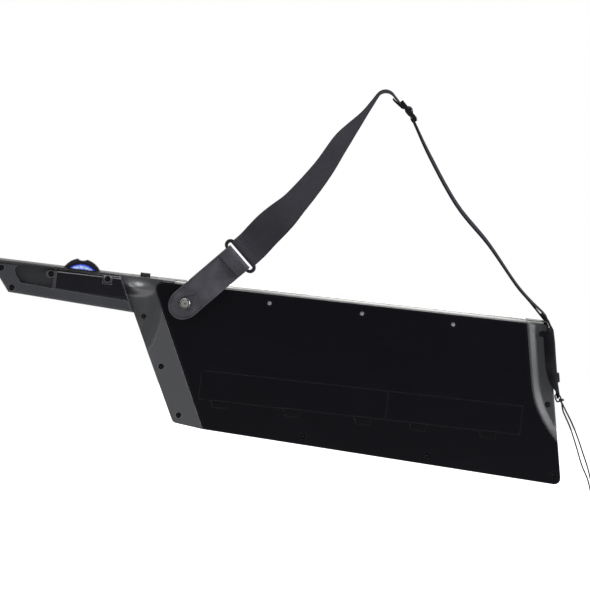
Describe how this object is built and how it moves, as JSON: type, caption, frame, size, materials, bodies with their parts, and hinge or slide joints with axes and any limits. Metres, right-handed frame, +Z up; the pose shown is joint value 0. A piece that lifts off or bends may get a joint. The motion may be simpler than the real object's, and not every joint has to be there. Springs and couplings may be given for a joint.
{
  "type": "keytar",
  "caption": "Strap-hung keyboard with a neck for the other hand: hinged keys, pads, thumb wheel, slider, buttons, two rear compartment doors and an adjustable shoulder strap.",
  "frame": {"origin": "underside of the strap's crown, where a hook or a shoulder carries the instrument", "axes": "+X along the instrument towards the neck, +Y out of the rear face (the keys face -Y), +Z up past the keys' free ends"},
  "size_m": [0.9698, 0.0768, 0.6867],
  "materials": {
    "case_gloss": "high gloss, black",
    "trim_dark": "satin charcoal",
    "trim_grey": "satin grey",
    "white_keys": "polished ivory white",
    "black_keys": "polished black",
    "chassis": "moulded, dark",
    "board": "coated board",
    "pads": "soft grey",
    "wheel": "translucent blue web in a black rim",
    "peg_steel": "turned, bright",
    "leather": "smooth black, stitched",
    "ring_metal": "black enamel",
    "webbing": "woven black",
    "slide_plastic": "moulded black",
    "lace": "braided black"
  },
  "bodies": {
    "case": {"front_shell": "case_gloss", "rear_cover": "case_gloss", "left_end_trim": "trim_dark", "right_end_trim": "trim_grey", "neck_rear_shell": "trim_dark", "key_chassis": "chassis", "circuit_board": "board", "pad_mat": "pads", "rear_strap_peg": "peg_steel", "end_strap_peg": "peg_steel", "rear_strap_tab": "leather", "strap_ring": "ring_metal", "strap_webbing": "webbing", "strap_adjuster": "slide_plastic", "end_strap_tab": "leather", "strap_lace": "lace"},
    "pitch_wheel": {"pitch_wheel": "wheel"},
    "volume_slider": {"volume_slider": "trim_dark"},
    "octave_down_button": {"octave_down_button": "trim_dark"},
    "octave_up_button": {"octave_up_button": "trim_dark"},
    "sustain_bar": {"sustain_bar": "case_gloss"},
    "connector_door": {"connector_door": "case_gloss"},
    "battery_door": {"battery_door": "case_gloss"},
    "key_01_c": {"key_01_c": "white_keys"},
    "key_02_c_sharp": {"key_02_c_sharp": "black_keys"},
    "key_03_d": {"key_03_d": "white_keys"},
    "key_04_d_sharp": {"key_04_d_sharp": "black_keys"},
    "key_05_e": {"key_05_e": "white_keys"},
    "key_06_f": {"key_06_f": "white_keys"},
    "key_07_f_sharp": {"key_07_f_sharp": "black_keys"},
    "key_08_g": {"key_08_g": "white_keys"},
    "key_09_g_sharp": {"key_09_g_sharp": "black_keys"},
    "key_10_a": {"key_10_a": "white_keys"},
    "key_11_a_sharp": {"key_11_a_sharp": "black_keys"},
    "key_12_b": {"key_12_b": "white_keys"},
    "key_13_c": {"key_13_c": "white_keys"},
    "key_14_c_sharp": {"key_14_c_sharp": "black_keys"},
    "key_15_d": {"key_15_d": "white_keys"},
    "key_16_d_sharp": {"key_16_d_sharp": "black_keys"},
    "key_17_e": {"key_17_e": "white_keys"},
    "key_18_f": {"key_18_f": "white_keys"},
    "key_19_f_sharp": {"key_19_f_sharp": "black_keys"},
    "key_20_g": {"key_20_g": "white_keys"},
    "key_21_g_sharp": {"key_21_g_sharp": "black_keys"},
    "key_22_a": {"key_22_a": "white_keys"},
    "key_23_a_sharp": {"key_23_a_sharp": "black_keys"},
    "key_24_b": {"key_24_b": "white_keys"},
    "key_25_c": {"key_25_c": "white_keys"},
    "key_26_c_sharp": {"key_26_c_sharp": "black_keys"},
    "key_27_d": {"key_27_d": "white_keys"},
    "key_28_d_sharp": {"key_28_d_sharp": "black_keys"},
    "key_29_e": {"key_29_e": "white_keys"},
    "key_30_f": {"key_30_f": "white_keys"},
    "key_31_f_sharp": {"key_31_f_sharp": "black_keys"},
    "key_32_g": {"key_32_g": "white_keys"},
    "key_33_g_sharp": {"key_33_g_sharp": "black_keys"},
    "key_34_a": {"key_34_a": "white_keys"},
    "key_35_a_sharp": {"key_35_a_sharp": "black_keys"},
    "key_36_b": {"key_36_b": "white_keys"},
    "key_37_c": {"key_37_c": "white_keys"}
  },
  "joints": [
    {"name": "bay_door_battery", "type": "hinge", "parent": "case", "child": "battery_door", "pos_m": [-0.1563, 0.025, -0.45], "axis": [1, 0, 0], "range_deg": [0, 80]},
    {"name": "bay_door_connector", "type": "hinge", "parent": "case", "child": "connector_door", "pos_m": [0.0892, 0.025, -0.45], "axis": [1, 0, 0], "range_deg": [0, 80]},
    {"name": "control_octave_down", "type": "slide", "parent": "case", "child": "octave_down_button", "axis": [0, 1, 0], "range_m": [0, 0.001], "stiffness_N_per_m": 250, "springref_m": -0.001},
    {"name": "control_octave_up", "type": "slide", "parent": "case", "child": "octave_up_button", "axis": [0, 1, 0], "range_m": [0, 0.001], "stiffness_N_per_m": 250, "springref_m": -0.001},
    {"name": "control_pitch_wheel", "type": "hinge", "parent": "case", "child": "pitch_wheel", "pos_m": [0.43, -0.005, -0.3354], "axis": [0, 1, 0], "range_deg": [-45, 45], "stiffness_Nm_per_rad": 0.05},
    {"name": "control_sustain_bar", "type": "hinge", "parent": "case", "child": "sustain_bar", "pos_m": [0.415, 0.016, -0.3285], "axis": [-1, 0, 0], "range_deg": [0, 5], "stiffness_Nm_per_rad": 0.2, "springref_deg": -5.73},
    {"name": "control_volume_slider", "type": "slide", "parent": "case", "child": "volume_slider", "axis": [1, 0, 0], "range_m": [-0.015, 0.018]},
    {"name": "key_press_01_c", "type": "hinge", "parent": "case", "child": "key_01_c", "pos_m": [0.25725, -0.0155, -0.48], "axis": [-1, 0, 0], "range_deg": [0, 3.8], "stiffness_Nm_per_rad": 0.3, "springref_deg": -14.32},
    {"name": "key_press_02_c_sharp", "type": "hinge", "parent": "case", "child": "key_02_c_sharp", "pos_m": [0.24785, -0.0155, -0.48], "axis": [-1, 0, 0], "range_deg": [0, 3.8], "stiffness_Nm_per_rad": 0.3, "springref_deg": -14.32},
    {"name": "key_press_03_d", "type": "hinge", "parent": "case", "child": "key_03_d", "pos_m": [0.23375, -0.0155, -0.48], "axis": [-1, 0, 0], "range_deg": [0, 3.8], "stiffness_Nm_per_rad": 0.3, "springref_deg": -14.32},
    {"name": "key_press_04_d_sharp", "type": "hinge", "parent": "case", "child": "key_04_d_sharp", "pos_m": [0.21965, -0.0155, -0.48], "axis": [-1, 0, 0], "range_deg": [0, 3.8], "stiffness_Nm_per_rad": 0.3, "springref_deg": -14.32},
    {"name": "key_press_05_e", "type": "hinge", "parent": "case", "child": "key_05_e", "pos_m": [0.21025, -0.0155, -0.48], "axis": [-1, 0, 0], "range_deg": [0, 3.8], "stiffness_Nm_per_rad": 0.3, "springref_deg": -14.32},
    {"name": "key_press_06_f", "type": "hinge", "parent": "case", "child": "key_06_f", "pos_m": [0.18675, -0.0155, -0.48], "axis": [-1, 0, 0], "range_deg": [0, 3.8], "stiffness_Nm_per_rad": 0.3, "springref_deg": -14.32},
    {"name": "key_press_07_f_sharp", "type": "hinge", "parent": "case", "child": "key_07_f_sharp", "pos_m": [0.17852, -0.0155, -0.48], "axis": [-1, 0, 0], "range_deg": [0, 3.8], "stiffness_Nm_per_rad": 0.3, "springref_deg": -14.32},
    {"name": "key_press_08_g", "type": "hinge", "parent": "case", "child": "key_08_g", "pos_m": [0.16325, -0.0155, -0.48], "axis": [-1, 0, 0], "range_deg": [0, 3.8], "stiffness_Nm_per_rad": 0.3, "springref_deg": -14.32},
    {"name": "key_press_09_g_sharp", "type": "hinge", "parent": "case", "child": "key_09_g_sharp", "pos_m": [0.1515, -0.0155, -0.48], "axis": [-1, 0, 0], "range_deg": [0, 3.8], "stiffness_Nm_per_rad": 0.3, "springref_deg": -14.32},
    {"name": "key_press_10_a", "type": "hinge", "parent": "case", "child": "key_10_a", "pos_m": [0.13975, -0.0155, -0.48], "axis": [-1, 0, 0], "range_deg": [0, 3.8], "stiffness_Nm_per_rad": 0.3, "springref_deg": -14.32},
    {"name": "key_press_11_a_sharp", "type": "hinge", "parent": "case", "child": "key_11_a_sharp", "pos_m": [0.12448, -0.0155, -0.48], "axis": [-1, 0, 0], "range_deg": [0, 3.8], "stiffness_Nm_per_rad": 0.3, "springref_deg": -14.32},
    {"name": "key_press_12_b", "type": "hinge", "parent": "case", "child": "key_12_b", "pos_m": [0.11625, -0.0155, -0.48], "axis": [-1, 0, 0], "range_deg": [0, 3.8], "stiffness_Nm_per_rad": 0.3, "springref_deg": -14.32},
    {"name": "key_press_13_c", "type": "hinge", "parent": "case", "child": "key_13_c", "pos_m": [0.09275, -0.0155, -0.48], "axis": [-1, 0, 0], "range_deg": [0, 3.8], "stiffness_Nm_per_rad": 0.3, "springref_deg": -14.32},
    {"name": "key_press_14_c_sharp", "type": "hinge", "parent": "case", "child": "key_14_c_sharp", "pos_m": [0.08335, -0.0155, -0.48], "axis": [-1, 0, 0], "range_deg": [0, 3.8], "stiffness_Nm_per_rad": 0.3, "springref_deg": -14.32},
    {"name": "key_press_15_d", "type": "hinge", "parent": "case", "child": "key_15_d", "pos_m": [0.06925, -0.0155, -0.48], "axis": [-1, 0, 0], "range_deg": [0, 3.8], "stiffness_Nm_per_rad": 0.3, "springref_deg": -14.32},
    {"name": "key_press_16_d_sharp", "type": "hinge", "parent": "case", "child": "key_16_d_sharp", "pos_m": [0.05515, -0.0155, -0.48], "axis": [-1, 0, 0], "range_deg": [0, 3.8], "stiffness_Nm_per_rad": 0.3, "springref_deg": -14.32},
    {"name": "key_press_17_e", "type": "hinge", "parent": "case", "child": "key_17_e", "pos_m": [0.04575, -0.0155, -0.48], "axis": [-1, 0, 0], "range_deg": [0, 3.8], "stiffness_Nm_per_rad": 0.3, "springref_deg": -14.32},
    {"name": "key_press_18_f", "type": "hinge", "parent": "case", "child": "key_18_f", "pos_m": [0.02225, -0.0155, -0.48], "axis": [-1, 0, 0], "range_deg": [0, 3.8], "stiffness_Nm_per_rad": 0.3, "springref_deg": -14.32},
    {"name": "key_press_19_f_sharp", "type": "hinge", "parent": "case", "child": "key_19_f_sharp", "pos_m": [0.01402, -0.0155, -0.48], "axis": [-1, 0, 0], "range_deg": [0, 3.8], "stiffness_Nm_per_rad": 0.3, "springref_deg": -14.32},
    {"name": "key_press_20_g", "type": "hinge", "parent": "case", "child": "key_20_g", "pos_m": [-0.00125, -0.0155, -0.48], "axis": [-1, 0, 0], "range_deg": [0, 3.8], "stiffness_Nm_per_rad": 0.3, "springref_deg": -14.32},
    {"name": "key_press_21_g_sharp", "type": "hinge", "parent": "case", "child": "key_21_g_sharp", "pos_m": [-0.013, -0.0155, -0.48], "axis": [-1, 0, 0], "range_deg": [0, 3.8], "stiffness_Nm_per_rad": 0.3, "springref_deg": -14.32},
    {"name": "key_press_22_a", "type": "hinge", "parent": "case", "child": "key_22_a", "pos_m": [-0.02475, -0.0155, -0.48], "axis": [-1, 0, 0], "range_deg": [0, 3.8], "stiffness_Nm_per_rad": 0.3, "springref_deg": -14.32},
    {"name": "key_press_23_a_sharp", "type": "hinge", "parent": "case", "child": "key_23_a_sharp", "pos_m": [-0.04002, -0.0155, -0.48], "axis": [-1, 0, 0], "range_deg": [0, 3.8], "stiffness_Nm_per_rad": 0.3, "springref_deg": -14.32},
    {"name": "key_press_24_b", "type": "hinge", "parent": "case", "child": "key_24_b", "pos_m": [-0.04825, -0.0155, -0.48], "axis": [-1, 0, 0], "range_deg": [0, 3.8], "stiffness_Nm_per_rad": 0.3, "springref_deg": -14.32},
    {"name": "key_press_25_c", "type": "hinge", "parent": "case", "child": "key_25_c", "pos_m": [-0.07175, -0.0155, -0.48], "axis": [-1, 0, 0], "range_deg": [0, 3.8], "stiffness_Nm_per_rad": 0.3, "springref_deg": -14.32},
    {"name": "key_press_26_c_sharp", "type": "hinge", "parent": "case", "child": "key_26_c_sharp", "pos_m": [-0.08115, -0.0155, -0.48], "axis": [-1, 0, 0], "range_deg": [0, 3.8], "stiffness_Nm_per_rad": 0.3, "springref_deg": -14.32},
    {"name": "key_press_27_d", "type": "hinge", "parent": "case", "child": "key_27_d", "pos_m": [-0.09525, -0.0155, -0.48], "axis": [-1, 0, 0], "range_deg": [0, 3.8], "stiffness_Nm_per_rad": 0.3, "springref_deg": -14.32},
    {"name": "key_press_28_d_sharp", "type": "hinge", "parent": "case", "child": "key_28_d_sharp", "pos_m": [-0.10935, -0.0155, -0.48], "axis": [-1, 0, 0], "range_deg": [0, 3.8], "stiffness_Nm_per_rad": 0.3, "springref_deg": -14.32},
    {"name": "key_press_29_e", "type": "hinge", "parent": "case", "child": "key_29_e", "pos_m": [-0.11875, -0.0155, -0.48], "axis": [-1, 0, 0], "range_deg": [0, 3.8], "stiffness_Nm_per_rad": 0.3, "springref_deg": -14.32},
    {"name": "key_press_30_f", "type": "hinge", "parent": "case", "child": "key_30_f", "pos_m": [-0.14225, -0.0155, -0.48], "axis": [-1, 0, 0], "range_deg": [0, 3.8], "stiffness_Nm_per_rad": 0.3, "springref_deg": -14.32},
    {"name": "key_press_31_f_sharp", "type": "hinge", "parent": "case", "child": "key_31_f_sharp", "pos_m": [-0.15047, -0.0155, -0.48], "axis": [-1, 0, 0], "range_deg": [0, 3.8], "stiffness_Nm_per_rad": 0.3, "springref_deg": -14.32},
    {"name": "key_press_32_g", "type": "hinge", "parent": "case", "child": "key_32_g", "pos_m": [-0.16575, -0.0155, -0.48], "axis": [-1, 0, 0], "range_deg": [0, 3.8], "stiffness_Nm_per_rad": 0.3, "springref_deg": -14.32},
    {"name": "key_press_33_g_sharp", "type": "hinge", "parent": "case", "child": "key_33_g_sharp", "pos_m": [-0.1775, -0.0155, -0.48], "axis": [-1, 0, 0], "range_deg": [0, 3.8], "stiffness_Nm_per_rad": 0.3, "springref_deg": -14.32},
    {"name": "key_press_34_a", "type": "hinge", "parent": "case", "child": "key_34_a", "pos_m": [-0.18925, -0.0155, -0.48], "axis": [-1, 0, 0], "range_deg": [0, 3.8], "stiffness_Nm_per_rad": 0.3, "springref_deg": -14.32},
    {"name": "key_press_35_a_sharp", "type": "hinge", "parent": "case", "child": "key_35_a_sharp", "pos_m": [-0.20453, -0.0155, -0.48], "axis": [-1, 0, 0], "range_deg": [0, 3.8], "stiffness_Nm_per_rad": 0.3, "springref_deg": -14.32},
    {"name": "key_press_36_b", "type": "hinge", "parent": "case", "child": "key_36_b", "pos_m": [-0.21275, -0.0155, -0.48], "axis": [-1, 0, 0], "range_deg": [0, 3.8], "stiffness_Nm_per_rad": 0.3, "springref_deg": -14.32},
    {"name": "key_press_37_c", "type": "hinge", "parent": "case", "child": "key_37_c", "pos_m": [-0.23625, -0.0155, -0.48], "axis": [-1, 0, 0], "range_deg": [0, 3.8], "stiffness_Nm_per_rad": 0.3, "springref_deg": -14.32}
  ]
}
